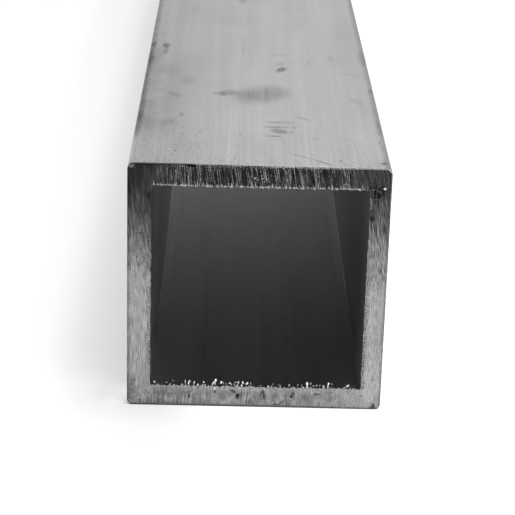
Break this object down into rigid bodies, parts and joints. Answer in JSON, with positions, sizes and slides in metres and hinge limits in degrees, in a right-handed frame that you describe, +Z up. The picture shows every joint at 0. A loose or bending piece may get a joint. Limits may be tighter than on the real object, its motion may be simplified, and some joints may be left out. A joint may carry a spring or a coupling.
{
  "type": "square metal tube",
  "caption": "Short length of square box section in mill-finish metal, with an even wall, an open square bore and plain sawn ends.",
  "frame": {"origin": "under the middle of the tube, on the surface that it lies on", "axes": "+Y along the tube, away from the front end; +Z up, out of the top face; +X out of the right face"},
  "size_m": [0.0382, 0.3, 0.0381],
  "materials": {
    "mill_finish_aluminium": "mill finish with die lines along its length, scuffed, with sawn ends"
  },
  "bodies": {
    "root": {"square_tube": "mill_finish_aluminium"}
  },
  "joints": []
}
